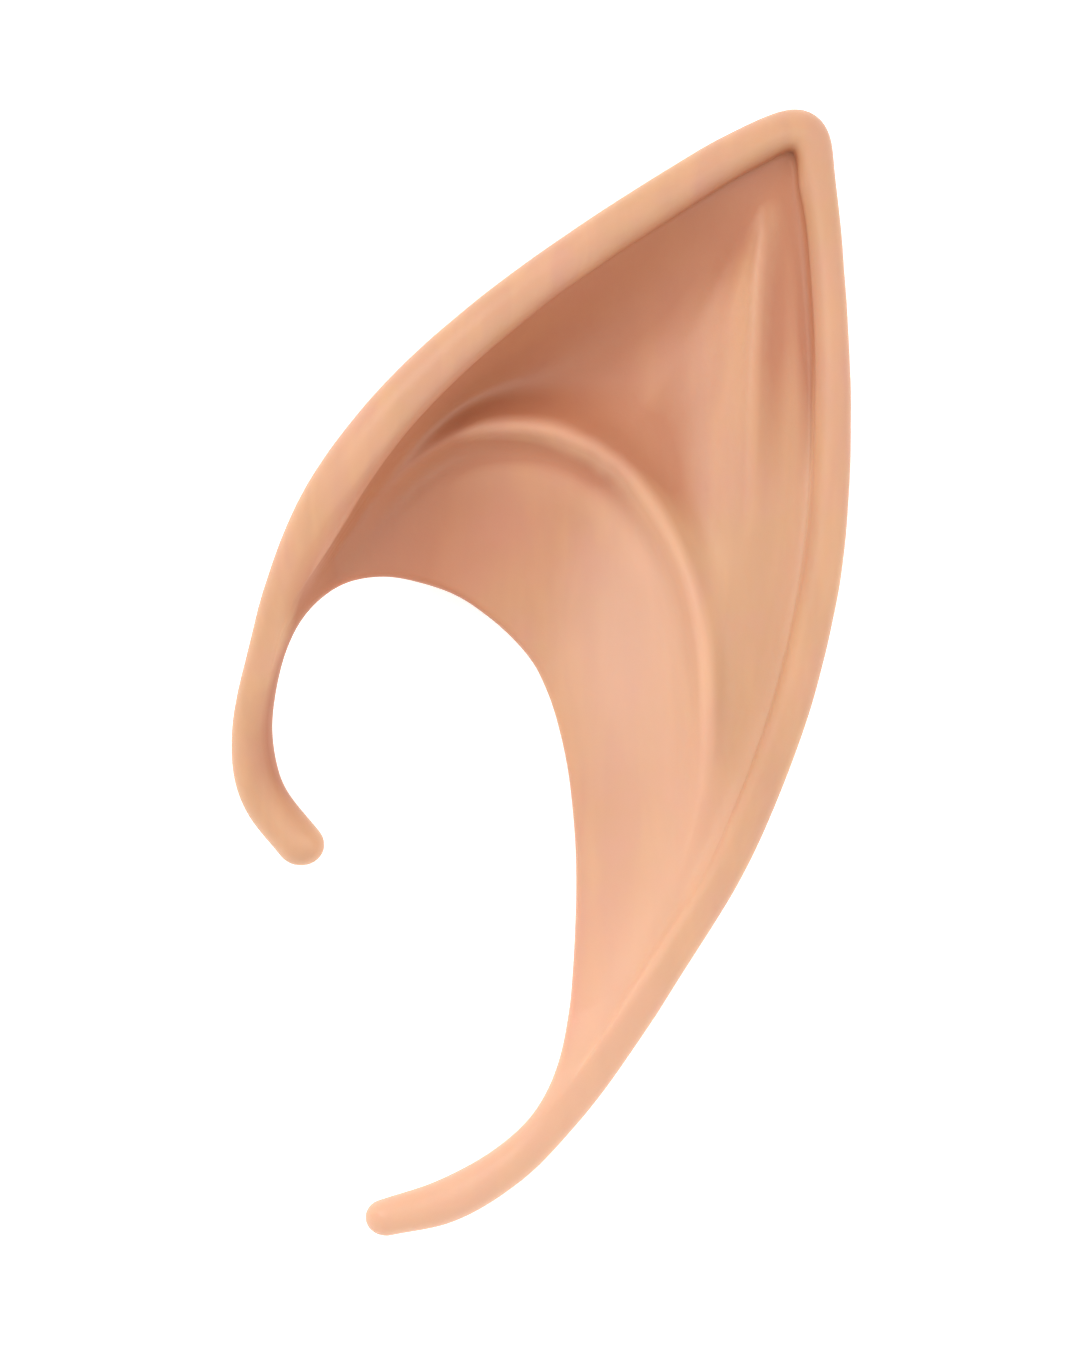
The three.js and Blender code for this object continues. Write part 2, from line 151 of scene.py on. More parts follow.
# Relief along each spoke from the opening's edge to the rim. ridgeAt, dipAt and foldAt are shares of the
# way to the rim's bead, lipAt and bellyAt of the whole spoke, and wallTop, dip and belly of the depth.
# raised, fold and groove are shares of the ridge, the fold and the groove, and curl turns the rim inwards.
reliefColumns = [
    "ridgeAt", "raised", "wallTop", "dipAt", "dip", "foldAt",
    "fold", "groove", "lipAt", "bellyAt", "belly", "curl"]
reliefRows = {
    "hookRoot": [0.60, 0.0, 0.680, 0.85, 0.700, 0.93, 0.0, 0.0, 0.50, 0.80, 0.580, 0.0],
    "rootRim": [0.62, 0.0, 0.640, 0.82, 0.690, 0.93, 0.0, 0.0, 0.50, 0.75, 0.420, 0.5],
    "topLow": [0.70, 0.2, 0.600, 0.83, 0.640, 0.93, 0.0, 0.0, 0.48, 0.68, 0.180, 0.9],
    "topMiddle": [0.724, 0.7, 0.560, 0.84, 0.555, 0.93, 0.0, 0.0, 0.42, 0.62, 0.060, 1.0],
    "topHigh": [0.598, 1.0, 0.545, 0.73, 0.470, 0.93, 0.0, 0.0, 0.30, 0.58, 0.020, 1.0],
    "topTip": [0.458, 1.0, 0.545, 0.57, 0.445, 0.93, 0.0, 0.0, 0.22, 0.58, 0.010, 0.7],
    "shoulder": [0.379, 1.0, 0.545, 0.55, 0.465, 0.93, 0.2, 0.0, 0.18, 0.60, 0.000, 0.3],
    "tip": [0.360, 1.0, 0.545, 0.55, 0.480, 0.882, 0.5, 0.0, 0.17, 0.60, 0.000, 0.0],
    "tipBack": [0.379, 1.0, 0.546, 0.56, 0.498, 0.816, 0.9, 0.3, 0.18, 0.60, 0.000, 0.0],
    "backTip": [0.416, 1.0, 0.550, 0.56, 0.525, 0.766, 1.0, 0.8, 0.20, 0.60, 0.000, 0.0],
    "backHigh": [0.486, 1.0, 0.558, 0.60, 0.545, 0.730, 1.0, 1.0, 0.24, 0.62, 0.000, 0.0],
    "backMiddle": [0.557, 1.0, 0.550, 0.68, 0.555, 0.720, 0.6, 0.8, 0.30, 0.66, 0.010, 0.0],
    "backLow": [0.620, 0.8, 0.500, 0.76, 0.535, 0.76, 0.1, 0.4, 0.36, 0.68, 0.030, 0.0],
    "backFoot": [0.700, 0.4, 0.440, 0.82, 0.475, 0.82, 0.0, 0.1, 0.42, 0.70, 0.060, 0.0],
    "armHigh": [0.72, 0.0, 0.360, 0.86, 0.400, 0.82, 0.0, 0.0, 0.44, 0.72, 0.095, 0.0],
    "arm": [0.66, 0.0, 0.290, 0.84, 0.330, 0.82, 0.0, 0.0, 0.46, 0.75, 0.110, 0.0],
    "armLow": [0.60, 0.0, 0.230, 0.84, 0.255, 0.82, 0.0, 0.0, 0.50, 0.80, 0.105, 0.0],
}
rowNames = list(rimRows)
lastRow = len(rowNames) - 1


def mix(a, b, t):
    return a + (b - a) * t


def steadyCurve(at, values):
    # smooth curve through keys that never overshoots them, and runs on straight past both ends
    at, values = np.array(at, float), np.array(values, float)
    slopes = np.diff(values) / np.diff(at)
    before, after = slopes[:-1], slopes[1:]
    agree = before * after > 0
    inner = np.where(agree, 2 * before * after / np.where(agree, before + after, 1), 0)
    tangents = np.concatenate([slopes[:1], inner, slopes[-1:]])

    def curve(x):
        inside = np.clip(x, at[0], at[-1])
        i = np.clip(np.searchsorted(at, inside) - 1, 0, len(at) - 2)
        width = at[i + 1] - at[i]
        t = (inside - at[i]) / width
        eased = mix(values[i], values[i + 1], t * t * (3 - 2 * t))
        bend = width * t * (1 - t) * (tangents[i] * (1 - t) - tangents[i + 1] * t)
        beyond = np.where(x < at[0], tangents[0], tangents[-1]) * (x - inside)
        return eased + bend + beyond

    return curve


def softened(curve, spread):
    # the curve averaged over a short stretch, which takes out its kinks
    shifts = np.linspace(-2, 2, mesh["softSteps"])
    weights = np.exp(-shifts ** 2 / 2)
    weights /= weights.sum()
    return lambda x: sum(weight * curve(x + shift * spread) for weight, shift in zip(weights, shifts))


def columnCurves(columns, rows):
    places = [rowNames.index(name) for name in rows]
    return {
        column: softened(steadyCurve(places, [row[i] for row in rows.values()]), mesh["rowSoftness"])
        for i, column in enumerate(columns)
    }


def planCurve(xColumn, yColumn):
    # centripetal curve through one pair of columns, which keeps close to its points at the tip
    x, y = rimColumns.index(xColumn), rimColumns.index(yColumn)
    plan = np.array([[row[x], row[y]] for row in rimRows.values()])
    points = (plan - 0.5) * [ear["width"], ear["length"]]
    points = np.vstack([2 * points[0] - points[1], points, 2 * points[-1] - points[-2]])
    gaps = np.sqrt(np.linalg.norm(np.diff(points, axis=0), axis=1))

    def curve(place):
        inside = min(max(place, 0), lastRow)
        i = min(int(inside), lastRow - 1)
        a, b, c, d = points[i:i + 4]
        first, middle, last = gaps[i:i + 3]
        start = ((b - a) / first - (c - a) / (first + middle) + (c - b) / middle) * middle
        end = ((c - b) / middle - (d - b) / (middle + last) + (d - c) / last) * middle
        t = inside - i
        way = b * (1 + 2 * t) * (1 - t) ** 2 + c * t * t * (3 - 2 * t)
        way = way + start * t * (1 - t) ** 2 - end * t * t * (1 - t)
        return way + (start if place < 0 else end) * (place - inside)

    return softened(curve, mesh["outlineSoftness"])


rimCurve = planCurve("x", "y")
edgeCurve = planCurve("edgeX", "edgeY")
rimCurves = columnCurves(rimColumns, rimRows)
reliefCurves = columnCurves(reliefColumns, reliefRows)


def sectionAt(place):
    # everything that one section needs, at a place counted in rows of the rim table
    s = SimpleNamespace()
    s.rim, s.edge = rimCurve(place), edgeCurve(place)
    way = rimCurve(place + mesh["tangentReach"]) - rimCurve(place - mesh["tangentReach"])
    s.tangent = way / np.linalg.norm(way)
    s.outward = np.array([-s.tangent[1], s.tangent[0]])
    s.span = np.linalg.norm(s.rim - s.edge)
    s.spoke = (s.rim - s.edge) / s.span
    s.hollow = float(np.clip(rimCurves["hollow"](place), 0, 1))
    thickness = mix(ear["hookThickness"], ear["rimThickness"], s.hollow)
    s.radius = rimCurves["bead"](place) * thickness / 2
    s.stretch = 1 / min(max(s.spoke @ s.outward, shares["leastSpokeTurn"]), 1)
    s.crest = rimCurves["crest"](place) * ear["depth"]
    s.edgeZ = rimCurves["edgeZ"](place) * ear["depth"]
    inside = min(max(place, rowNames.index("hookRoot")), rowNames.index("armLow"))
    for name in reliefColumns:
        setattr(s, name, float(reliefCurves[name](inside)))
    s.opened = min(max(2 * s.hollow - 1, 0), 1)
    s.beadStart = math.pi * (mix(shares["hookBeadStart"], 1, s.hollow) + shares["curledStart"] * s.curl)
    s.foot = max(s.span + math.cos(s.beadStart) * s.radius * s.stretch, s.span * shares["leastFoot"])
    s.footZ = s.crest - s.radius + math.sin(s.beadStart) * s.radius
    s.panel = max(s.span - s.radius, s.span * shares["leastPanel"])
    s.ridge = max(s.ridgeAt * s.panel, min(mix(ear["wall"] / 2, s.foot, 0.5), ear["wall"]))
    s.lip = min(s.lipAt * s.span, shares["farthestLip"] * (s.span - ear["wall"] / 2))
    return s


def bump(distance, before, after, sharpness=2):
    # soft swelling with its own reach on each side
    return np.exp(-np.abs(distance / np.where(distance < 0, before, after)) ** sharpness)


def coreFace(s):
    # height of the face without its raised lines
    wallTop = s.wallTop * ear["depth"]
    nearest, farthest = [mix(s.ridge, s.foot, shares[name]) for name in ("nearestDip", "farthestDip")]
    dipAt = min(max(s.dipAt * s.panel, nearest), farthest)
    climbed = mix(s.edgeZ, wallTop, shares["conchaClimb"])
    heights = [s.edgeZ, climbed, wallTop, s.dip * ear["depth"], s.footZ]
    curve = steadyCurve([0, s.ridge * 0.5, s.ridge, dipAt, s.foot], heights)
    curve = softened(curve, min(mesh["faceSoftness"], shares["mostSoftening"] * s.span))
    lift = s.footZ - curve(s.foot)
    q = np.linspace(-ear["wall"], s.span + 2 * s.radius, mesh["tableSteps"])
    table = curve(q) + lift * np.clip(q / s.foot, 0, 1) ** shares["liftPower"]
    return lambda at: np.interp(at, q, table)


def raisedLines(s, q):
    # the ridge with the faint groove on its inner side, the broad fold beyond it and the rim's groove
    inside, outside, groove = ear["ridgeInside"], ear["ridgeOutside"], ear["grooveWidth"]
    fromRidge = q - s.ridge
    ridge = ear["ridgeHeight"] * bump(fromRidge, inside, outside)
    ridge = ridge - ear["ridgeGroove"] * bump(fromRidge + 2 * inside, inside, inside)
    fromFold = q - s.foldAt * s.panel
    fold = ear["foldHeight"] * bump(fromFold, ear["foldInside"], ear["foldOutside"], ear["foldSharpness"])
    rimGroove = ear["grooveDepth"] * bump(q - s.foot + groove / 3, groove, groove)
    return s.raised * ridge + s.fold * fold - s.groove * rimGroove


def backSkin(s):
    # height of the back's outside, from its lip over the belly to the underside of the rim
    belly, lip = s.bellyAt * s.span, s.lip
    low, under = s.belly * ear["depth"], s.crest - 2 * s.radius

    def height(q):
        x = np.clip((q - belly) / (s.span - belly), 0, 1)
        rise = ear["backLipRise"] * (np.maximum(belly - q, 0) / (belly - lip)) ** 2
        return np.where(q < belly, low + rise, mix(low, under, 1 - (1 - x ** 2) ** shares["bellyRoundness"]))

    return height


def innerSide(s, height, side, q):
    # height of a skin's inner side, one wall away from its outer side in every direction
    reach = ear["wall"] * mix(1, s.stretch, np.clip(q / s.span, 0, 1))
    heights = [side * height(q + share * reach) + ear["wall"] * math.sqrt(1 - share ** 2)
               for share in np.linspace(-1, 1, mesh["wallSteps"])]
    return side * np.max(heights, axis=0)


def pocketOf(s):
    # the pocket between the skins: its roof, its floor, its lip and its end under the rim
    core, back = coreFace(s), backSkin(s)

    def grooved(q):
        return core(q) + np.minimum(raisedLines(s, q), 0)

    def floor(q):
        return innerSide(s, back, 1, q)

    def roof(q):
        under = innerSide(s, grooved, -1, q)
        return np.where(q < s.lip, under, np.maximum(under, floor(q) + ear["leastGap"]))

    nearest = s.lip + 2 * ear["leastGap"]
    deepest = max(s.span - ear["wall"] * s.stretch - ear["pocketBottom"] / 2, nearest)
    places = np.linspace(deepest, nearest, mesh["searchSteps"])
    roomy = roof(places) - floor(places) >= ear["pocketBottom"]
    end = places[np.argmax(roomy)] if roomy.any() else nearest
    return SimpleNamespace(core=core, back=back, roof=roof, floor=floor, end=float(end))


def spread(count, start, end):
    return mix(start, end, np.arange(count) / count)


def nose(q, height):
    # half-round edge of a skin, one wall thick, from its inner side round to its outer side
    turn = np.linspace(1.5 * math.pi, 0.5 * math.pi, mesh["noseSteps"] + 1)
    half = ear["wall"] / 2
    return np.c_[q + half + half * np.cos(turn), height + half * np.sin(turn)]


def innerLoop(s, pocket, backNose, frontNose):
    # the side of a section that faces the wearer, drawn out to a straight line where the pocket closes
    half, middle = ear["wall"] / 2, mesh["noseSteps"] // 2
    floorAt = mix(s.lip + half, pocket.end, np.sin(spread(mesh["pocketSteps"], 0, 1)[1:] * math.pi / 2))
    low = float(pocket.floor(pocket.end))
    depth = (float(pocket.roof(pocket.end)) - low) / 2
    reach = min(depth, ear["pocketBottom"] / 2)
    turn = np.linspace(-math.pi / 2, math.pi / 2, mesh["bottomSteps"] + 1)
    roofAt = spread(mesh["pocketSteps"] + 2, pocket.end, half)[1:]
    points = np.vstack([
        backNose[middle + 1:],
        np.c_[floorAt, pocket.floor(floorAt)],
        np.c_[pocket.end + reach * np.cos(turn), low + depth * (1 + np.sin(turn))],
        np.c_[roofAt, pocket.roof(roofAt)],
        frontNose[:middle],
    ])
    across = (np.arange(len(points)) + 1)[:, None] / (len(points) + 1)
    return mix(mix(backNose[middle], frontNose[middle], across), points, s.opened)


loopCount = (
    mesh["conchaSteps"] + mesh["ridgeSteps"] + mesh["fossaSteps"] + mesh["beadSteps"] + mesh["backSteps"]
    + 2 * mesh["pocketSteps"] + mesh["bottomSteps"] + 2 * mesh["noseSteps"] + 2)


def skinLoop(s):
    # closed outline of a section with two skins, as distances along the spoke and heights
    pocket = pocketOf(s)
    half, middle = ear["wall"] / 2, mesh["noseSteps"] // 2
    ridgeStart = max(s.ridge - 3 * ear["ridgeInside"], mix(half, s.ridge, 0.5))
    ridgeEnd = min(s.ridge + 2 * ear["ridgeOutside"], mix(s.ridge, s.foot, shares["ridgeReach"]))
    faceAt = np.concatenate([
        spread(mesh["conchaSteps"], half, ridgeStart)[1:],
        spread(mesh["ridgeSteps"], ridgeStart, ridgeEnd),
        spread(mesh["fossaSteps"], ridgeEnd, s.foot),
    ])
    angle = spread(mesh["beadSteps"], s.beadStart, -math.pi / 2)
    reach = np.cos(angle) * s.radius
    beadAt = s.span + reach * np.where(reach < 0, s.stretch, 1)
    backAt = mix(s.lip + half, s.span, np.sin(spread(mesh["backSteps"], 1, 0) * math.pi / 2))
    frontNose = nose(0, float(pocket.core(half)) - half)
    backNose = nose(s.lip, float(pocket.back(s.lip + half)) + half)
    outer = np.vstack([
        frontNose[middle:],
        np.c_[faceAt, pocket.core(faceAt) + raisedLines(s, faceAt)],
        np.c_[beadAt, s.crest - s.radius + np.sin(angle) * s.radius],
        np.c_[backAt, pocket.back(backAt)],
        backNose[:middle + 1],
    ])
    inner = innerLoop(s, pocket, backNose, frontNose)
    topCount = len(frontNose) - middle + len(faceAt) + int(np.sum(angle >= 0))
    return np.vstack([outer, inner]), topCount, len(outer)


def hookLoop(s, skins, topCount, outerCount):
    # closed outline of a solid hook, its points as far along the spoke as those of the two skins
    reach = (s.span + s.radius) / 2
    turn = np.arccos(np.clip((skins[:, 0] - reach) / reach, -1, 1))
    turn[topCount:] *= -1
    turn[outerCount:] = np.linspace(turn[outerCount - 1], -math.pi, len(turn) - outerCount + 2)[1:-1]
    q = reach + reach * np.cos(turn)
    middle = mix(s.edgeZ, s.crest - s.radius, np.clip(q / s.span, 0, 1))
    return np.c_[q, middle + s.radius * np.sin(turn)]


def sectionPoints(s):
    loop, topCount, outerCount = skinLoop(s)
    loop = mix(hookLoop(s, loop, topCount, outerCount), loop, min(2 * s.hollow, 1))
    beyond = np.maximum(loop[:, 0] - s.span, 0)[:, None]
    plan = s.edge + s.spoke * (loop[:, :1] - beyond) + s.outward * beyond
    return np.c_[plan, loop[:, 1]]


def capRings(place, forward):
    # round end of a hook: its last section, shrunk and carried on along the rim
    s = sectionAt(place)
    points = sectionPoints(s)
    tangent = np.append(s.tangent, 0)
    centre = np.append((s.edge + s.rim + s.outward * s.radius) / 2, s.crest - s.radius)
    angles = np.arange(1, mesh["capSteps"] + 1) / (mesh["capSteps"] + 1) * math.pi / 2
    reach = tangent * forward * s.radius
    return [centre + (points - centre) * math.cos(a) + reach * math.sin(a) for a in angles], centre + reach


def meshObject(name, points, faces):
    data = bpy.data.meshes.new(name)
    data.from_pydata(points.tolist(), [], faces)
    data.validate()
    data.shade_smooth()
    made = bpy.data.objects.new(name, data)
    bpy.context.scene.collection.objects.link(made)
    return made


def makeShell():
    places = np.arange(lastRow * mesh["stepsPerRow"] + 1) / mesh["stepsPerRow"]
    body = [sectionPoints(sectionAt(place)) for place in places]
    startRings, startPole = capRings(0, -1)
    endRings, endPole = capRings(lastRow, 1)
    rings = startRings[::-1] + body + endRings
    points = np.vstack(rings + [startPole, endPole]) * mm
    ringAt = np.arange(len(rings) - 1)[:, None] * loopCount
    one, two = np.arange(loopCount), (np.arange(loopCount) + 1) % loopCount
    nextAt = ringAt + loopCount
    quads = np.stack([ringAt + one, nextAt + one, nextAt + two, ringAt + two], axis=-1)
    start, lastRing = len(rings) * loopCount, (len(rings) - 1) * loopCount
    faces = quads.reshape(-1, 4).tolist()
    faces += [[start, int(a), int(b)] for a, b in zip(one, two)]
    faces += [[start + 1, int(lastRing + b), int(lastRing + a)] for a, b in zip(one, two)]
    return meshObject("latex_ear", points, faces)


# Guides for the painted light and shade, in millimetres: how far a fine line lies below what is beside it,
# how much steeper than usual the face climbs along a heading to the right and a little up, toward the light,
# and the painted shade on the face's upper left, which is deepest where it climbs least and in valleys
guides = {
    "cell": 0.8,
    "border": 8.0,
    "fillReach": 0.7,  # in cells
    "leastFill": 0.3,  # the covered share from which an empty cell is filled
    "leastCover": 0.01,  # keeps the average sound where no cell is near
    "lineReach": 1.5,
    "slopeReach": 1.6,
    "heading": [1.0, 0.4],
    "usualSlope": 0.2,
    "shadeBase": 0.2,
    "shadeHeading": [-0.7, 1.0],
    "shadeReach": 16.0,
}


def blurred(grid, cells):
    reach = np.arange(-math.ceil(3 * cells), math.ceil(3 * cells) + 1)
    weights = np.exp(-(reach / cells) ** 2 / 2)
    weights /= weights.sum()
    for axis in (0, 1):
        grid = np.apply_along_axis(np.convolve, axis, grid, weights, "same")
    return grid


def averaged(heights, cells, leastCover):
    # heights averaged over the cells that hold any, and the share of cells that do
    cover = blurred((heights > 0).astype(float), cells)
    return blurred(heights, cells) / np.maximum(cover, leastCover), cover


def faceGrid(places, shown):
    # heights of the shown side on a square grid, and where every place lies on that grid
    corner = places[:, :2].min(axis=0) - guides["border"]
    at = (places[:, :2] - corner) / guides["cell"]
    heights = np.zeros(np.ceil(at.max(axis=0) + guides["border"] / guides["cell"]).astype(int) + 1)
    np.maximum.at(heights, tuple(np.round(at[shown]).astype(int).T), places[shown, 2])
    near, cover = averaged(heights, guides["fillReach"], guides["leastFill"])
    return np.where((heights == 0) & (cover > guides["leastFill"]), near, heights), at


def sampled(grid, at):
    low = np.floor(at).astype(int)
    x, y = low.T
    across, along = (at - low).T
    near = mix(grid[x, y], grid[x + 1, y], across)
    return mix(near, mix(grid[x, y + 1], grid[x + 1, y + 1], across), along)


def addGuides(piece):
    count = len(piece.data.vertices)
    places = np.empty(count * 3)
    piece.data.vertices.foreach_get("co", places)
    places = places.reshape(-1, 3) / mm
    # a ring's points run over the face first, then round the rim's bead and on over the back
    faceCount = mesh["noseSteps"] // 2 + mesh["conchaSteps"] + mesh["ridgeSteps"] + mesh["fossaSteps"]
    ringAt = np.arange(count) % loopCount
    fade = mesh["beadSteps"] / 4
    onFace = np.clip((faceCount + fade - ringAt) / fade, 0, 1)
    heights, at = faceGrid(places, ringAt < faceCount + mesh["beadSteps"])
    cell = guides["cell"]
    near, broad = [averaged(heights, guides[reach] / cell, guides["leastCover"])[0]
                   for reach in ("lineReach", "slopeReach")]
    climbs = sum(part * toward for part, toward in zip(np.gradient(broad, cell), guides["heading"]))
    line = sampled(near, at) - places[:, 2]
    slope = sampled(climbs, at) - guides["usualSlope"]
    # the painted shade grows toward the face's upper left
    lift = np.clip(places[:, :2] @ guides["shadeHeading"] / guides["shadeReach"], 0, 1)
    # guides for the painted highlight on proud lines (line), painted light where the face climbs (slope) and
    # painted shade (shade)
    values = {
        "line": line,
        "slope": slope,
        "shade": lift * (guides["shadeBase"] - slope + np.maximum(line, 0)),
    }
    for name, value in values.items():
        attribute = piece.data.attributes.new(name, "FLOAT", "POINT")
        attribute.data.foreach_set("value", (value * onFace).astype(np.float32))


shell = makeShell()
print("shell lofted:", len(shell.data.polygons), "faces")


def linearColour(code):
    parts = [int(code[i:i + 2], 16) / 255 for i in (1, 3, 5)]
    return [c / 12.92 if c <= 0.04045 else ((c + 0.055) / 1.055) ** 2.4 for c in parts] + [1]


def addNode(tree, kind, inputs=None, **settings):
    node = tree.nodes.new(kind)
    for name, value in settings.items():
        setattr(node, name, value)
    for socket, value in (inputs or {}).items():
        if isinstance(value, bpy.types.NodeSocket):
            tree.links.new(value, node.inputs[socket])
        else:
            node.inputs[socket].default_value = value
    return node


# Natural latex poured into a plaster mould and tinted with an airbrush: satin and a little see-through, with
# faint peach and pink strokes. Painted shade makes it browner on the face's upper left and in its valleys,
# and painted light makes it paler on what stands proud, where the face climbs and down the lower hook, with a
# pinkish painted pool of light by the ear opening. Sizes are in millimetres.
latex = {
    "peach": "#C99873",
    "pink": "#CB957A",
    "straw": "#D5A379",
    # painted shade, browner on the face's upper left and in its valleys
    "paintedShade": "#B26D4C",
    # painted light: paler where the face climbs toward the light, painted highlight on what stands proud, and
    # paler down the lower hook
    "paintedLight": "#E8B698",
    # the next three set a pinkish painted pool of light on the face by the ear opening: its colour, middle
    # and size
    "paintedLightPatch": "#D8A891",
    "lightPatchPlace": (8.0, 3.0),
    "lightPatchSize": (8.0, 17.0),
    "blotchSize": 9.0,
    "blotchEdges": (0.4, 0.65),  # of the noise, from all peach to all pink
    "strokeWidth": 3.0,  # of the airbrush, whose strokes run along the ear
    "strokeLength": 20.0,
    "strokeBend": 0.3,
    "grainSize": 0.5,  # plaster grain is near 0.2 mm, drawn coarser so that it shows
    "grainDepth": 0.02,
    "grainStrength": 0.6,
    "roughness": (0.44, 0.58),  # of the smoothest and the dullest blotch
    "ior": 1.52,
    "glow": 0.3,
    "glowDepth": 2.0,
    "glowReach": (1.0, 0.45, 0.25),  # red light gets farthest through the skin
    # Tints in the order in which they are laid on, the straw strokes first and then the painted light and
    # shade:
    # colour, guide, the guide's values where the tint starts and where it is full, and its share there
    "tints": [
        ["straw", "strokes", 0.4, 0.7, 0.6],
        # painted light, paler where the face climbs toward the light from the upper left
        ["paintedLight", "slope", 0, 0.4, 0.4],
        # painted shade on the face's upper left and in its valleys
        ["paintedShade", "shade", 0, 0.6, 0.8],
        # painted highlight on the ridge and the fold, which stand proud
        ["paintedLight", "line", -0.2, -0.8, 0.33],
        # painted pool of light, pinkish, on the wall by the ear opening that faces the light
        ["paintedLightPatch", "fromLightPatch", 1.0, 0.2, 0.6],
        # painted light, paler down the lower hook, where the thin latex lets light through
        ["paintedLight", "height", -10 * mm, -40 * mm, 0.5],
    ],
}
mixFactor, firstColour, secondColour, mixedColour = 0, 6, 7, 2  # sockets of a colour Mix node


def castLatexSatin():
    material = bpy.data.materials.new("cast_latex_satin")
    material.use_nodes = True
    tree = material.node_tree
    tree.nodes.clear()
    place = addNode(tree, "ShaderNodeTexCoord").outputs["Object"]
    middle, size = [[length * mm for length in latex[name]] for name in ("lightPatchPlace", "lightPatchSize")]
    aside = addNode(tree, "ShaderNodeMapping", {
        "Vector": place, "Location": (*middle, 0), "Scale": (*size, 1)}, vector_type="TEXTURE")
    along = addNode(tree, "ShaderNodeMapping", {
        "Vector": place, "Scale": (1, latex["strokeWidth"] / latex["strokeLength"], 1)})
    blotches = addNode(tree, "ShaderNodeTexNoise", {
        "Vector": place, "Scale": 1 / (latex["blotchSize"] * mm), "Detail": 3.0, "Roughness": 0.55})
    strokes = addNode(tree, "ShaderNodeTexNoise", {
        "Vector": along.outputs["Vector"], "Scale": 1 / (latex["strokeWidth"] * mm), "Detail": 2.0,
        "Distortion": latex["strokeBend"]})
    grain = addNode(tree, "ShaderNodeTexNoise", {
        "Vector": place, "Scale": 1 / (latex["grainSize"] * mm), "Detail": 2.0})
    # the guides for painted light and shade, stored on the points
    guided = {
        name: addNode(tree, "ShaderNodeAttribute", attribute_name=name).outputs["Fac"]
        for name in ("line", "slope", "shade")
    }
    guided["strokes"] = strokes.outputs["Fac"]
    guided["height"] = addNode(tree, "ShaderNodeSeparateXYZ", {"Vector": place}).outputs["Y"]
    # distance from the middle of the painted pool of light
    guided["fromLightPatch"] = addNode(tree, "ShaderNodeVectorMath", {
        "Vector": aside.outputs["Vector"]}, operation="LENGTH").outputs["Value"]
    pinkFrom, pinkTo = latex["blotchEdges"]
    pinkShare = addNode(tree, "ShaderNodeMapRange", {
        "Value": blotches.outputs["Fac"], "From Min": pinkFrom, "From Max": pinkTo})
    colour = addNode(tree, "ShaderNodeMix", {
        mixFactor: pinkShare.outputs["Result"],
        firstColour: linearColour(latex["peach"]),
        secondColour: linearColour(latex["pink"])}, data_type="RGBA")
    # lays the tints one over another, the painted light and painted shade among them
    for tint, guide, start, full, most in latex["tints"]:
        share = addNode(tree, "ShaderNodeMapRange", {
            "Value": guided[guide], "From Min": start, "From Max": full, "To Max": most})
        colour = addNode(tree, "ShaderNodeMix", {
            mixFactor: share.outputs["Result"],
            firstColour: colour.outputs[mixedColour],
            secondColour: linearColour(latex[tint])}, data_type="RGBA")
    smoothest, dullest = latex["roughness"]
    roughness = addNode(tree, "ShaderNodeMapRange", {
        "Value": blotches.outputs["Fac"], "To Min": smoothest, "To Max": dullest})
    bumps = addNode(tree, "ShaderNodeBump", {
        "Height": grain.outputs["Fac"], "Distance": latex["grainDepth"] * mm,
        "Strength": latex["grainStrength"]})
    shader = addNode(tree, "ShaderNodeBsdfPrincipled", {
        "Base Color": colour.outputs[mixedColour],
        "Roughness": roughness.outputs["Result"],
        "IOR": latex["ior"],
        "Normal": bumps.outputs["Normal"],
        "Subsurface Weight": latex["glow"],
        "Subsurface Scale": latex["glowDepth"] * mm,
        "Subsurface Radius": latex["glowReach"],
    })
    addNode(tree, "ShaderNodeOutputMaterial", {"Surface": shader.outputs["BSDF"]})
    return material


# Slight unevenness of a slip casting, which is never as true as its mould, in millimetres. The waves stay
# within half of their height on either side.
casting = {"waveHeight": 0.2, "waveLength": 8.0, "seed": 4.0}


def castingTree():
    tree = bpy.data.node_groups.new("casting", "GeometryNodeTree")
    tree.interface.new_socket("Geometry", in_out="OUTPUT", socket_type="NodeSocketGeometry")
    tree.interface.new_socket("Geometry", in_out="INPUT", socket_type="NodeSocketGeometry")
    for name in ("Wave height", "Wave length", "Seed"):
        tree.interface.new_socket(name, in_out="INPUT", socket_type="NodeSocketFloat")
    tree.interface.new_socket("Material", in_out="INPUT", socket_type="NodeSocketMaterial")
    given = addNode(tree, "NodeGroupInput").outputs
    place = addNode(tree, "GeometryNodeInputPosition").outputs["Position"]
    perLength = addNode(tree, "ShaderNodeMath", {0: 1.0, 1: given["Wave length"]}, operation="DIVIDE")
    waves = addNode(tree, "ShaderNodeTexNoise", {
        "Vector": place, "W": given["Seed"], "Scale": perLength.outputs[0], "Detail": 1.0},
        noise_dimensions="4D")
    centred = addNode(tree, "ShaderNodeMath", {0: waves.outputs["Fac"], 1: 0.5}, operation="SUBTRACT")
    rise = addNode(tree, "ShaderNodeMath", {
        0: centred.outputs[0], 1: given["Wave height"]}, operation="MULTIPLY")
    shift = addNode(tree, "ShaderNodeVectorMath", {
        "Vector": addNode(tree, "GeometryNodeInputNormal").outputs["Normal"],
        "Scale": rise.outputs[0]}, operation="SCALE")
    uneven = addNode(tree, "GeometryNodeSetPosition", {
        "Geometry": given["Geometry"], "Offset": shift.outputs["Vector"]})
    whole = addNode(tree, "GeometryNodeRealizeInstances", {"Geometry": uneven.outputs["Geometry"]})
    finished = addNode(tree, "GeometryNodeSetMaterial", {
        "Geometry": whole.outputs["Geometry"], "Material": given["Material"]})
    addNode(tree, "NodeGroupOutput", {"Geometry": finished.outputs["Geometry"]})
    return tree


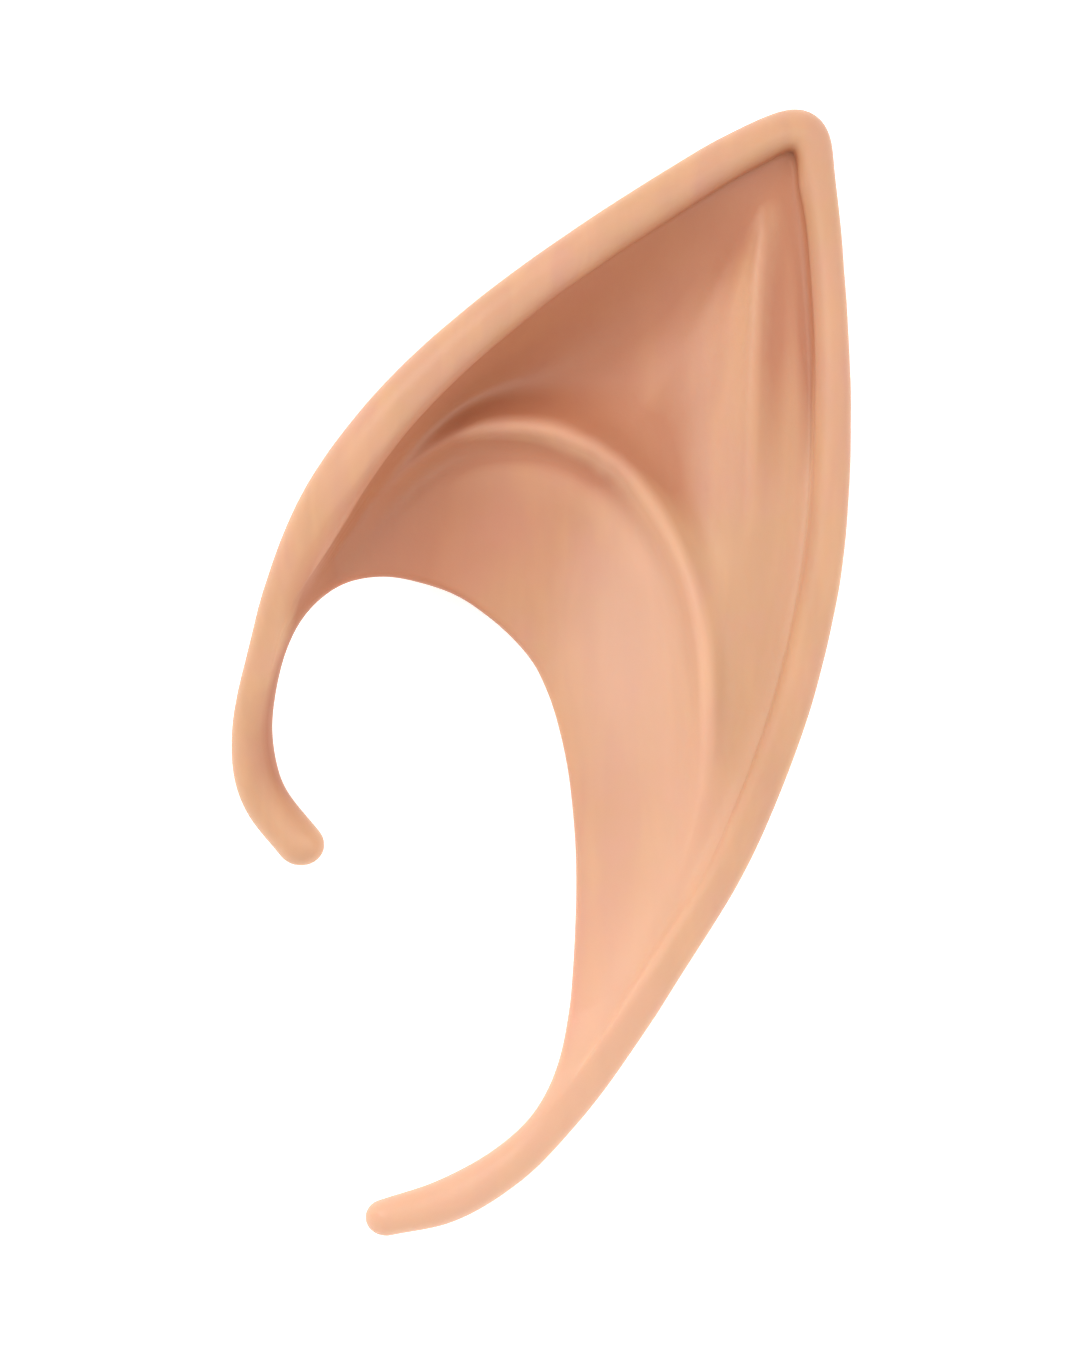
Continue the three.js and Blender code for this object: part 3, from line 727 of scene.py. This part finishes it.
def cast(piece, material):
    tree = castingTree()
    modifier = piece.modifiers.new("casting", "NODES")
    modifier.node_group = tree
    values = {
        "Wave height": casting["waveHeight"] * mm,
        "Wave length": casting["waveLength"] * mm,
        "Seed": casting["seed"],
        "Material": material,
    }
    for socket in tree.interface.items_tree:
        if socket.name in values:
            modifier[socket.identifier] = values[socket.name]
    evaluated = piece.evaluated_get(bpy.context.evaluated_depsgraph_get())
    result = bpy.data.meshes.new_from_object(evaluated)
    piece.modifiers.clear()
    piece.data = result


addGuides(shell)
cast(shell, castLatexSatin())
print("shell cast:", shell.data.materials[0].name)
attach(shell, "root")
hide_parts("ear_shell")
print("latex finished")

# Studio, in metres and watts: a pale floor, white light all round, a soft light from the upper left and a
# broad one from the lower right. The floor is matt acrylic lit from behind, so it stays white under the ear.
studio = {
    "floorSize": 6.0,
    "floorColour": "#F4F3F1",
    "floorRoughness": 0.9,
    "floorGlow": 0.62,
    "worldColour": "#FFFFFF",
    "worldStrength": 0.745,
    "keyPlace": (-0.5, 0.42, 0.8),
    "keySize": 0.5,
    "keyPower": 5.5,
    "fillPlace": (0.8, -0.3, 0.9),
    "fillSize": 1.2,
    "fillPower": 5.0,
    "cameraDistance": 1.4,
    "frameHeight": 0.1344,
    "sensorHeight": 36.0,  # in millimetres
    "clipStart": 0.05,
    "clipEnd": 20.0,
}


def addLight(name, place, size, power):
    light = bpy.data.lights.new(name, "AREA")
    light.size, light.energy = size, power
    lamp = bpy.data.objects.new(name, light)
    lamp.location = place
    lamp.rotation_euler = (-lamp.location).to_track_quat("-Z", "Y").to_euler()
    bpy.context.scene.collection.objects.link(lamp)


def addStudio():
    half = studio["floorSize"] / 2
    corners = np.array([[-half, -half, 0], [half, -half, 0], [half, half, 0], [-half, half, 0]])
    floor = meshObject("floor", corners, [[0, 1, 2, 3]])
    acrylic = bpy.data.materials.new("backlit_matt_acrylic")
    acrylic.use_nodes = True
    shader = acrylic.node_tree.nodes["Principled BSDF"]
    shader.inputs["Base Color"].default_value = linearColour(studio["floorColour"])
    shader.inputs["Roughness"].default_value = studio["floorRoughness"]
    shader.inputs["Emission Color"].default_value = linearColour(studio["floorColour"])
    shader.inputs["Emission Strength"].default_value = studio["floorGlow"]
    floor.data.materials.append(acrylic)
    world = bpy.data.worlds.new("studio_air")
    world.use_nodes = True
    air = world.node_tree.nodes["Background"]
    air.inputs["Color"].default_value = linearColour(studio["worldColour"])
    air.inputs["Strength"].default_value = studio["worldStrength"]
    bpy.context.scene.world = world
    addLight("key", studio["keyPlace"], studio["keySize"], studio["keyPower"])
    addLight("fill", studio["fillPlace"], studio["fillSize"], studio["fillPower"])


def addCamera():
    lens = bpy.data.cameras.new("camera")
    lens.sensor_width = studio["sensorHeight"]  # the long side of the frame, which is its height
    lens.lens = studio["sensorHeight"] * studio["cameraDistance"] / studio["frameHeight"]
    lens.clip_start, lens.clip_end = studio["clipStart"], studio["clipEnd"]
    camera = bpy.data.objects.new("camera", lens)
    low, high = cadBox
    camera.location = ((low.x + high.x) / 2, (low.y + high.y) / 2, high.z + studio["cameraDistance"])
    bpy.context.scene.collection.objects.link(camera)
    bpy.context.scene.camera = camera


addStudio()
addCamera()
bpy.context.scene.view_settings.view_transform = "Standard"
print("studio set")
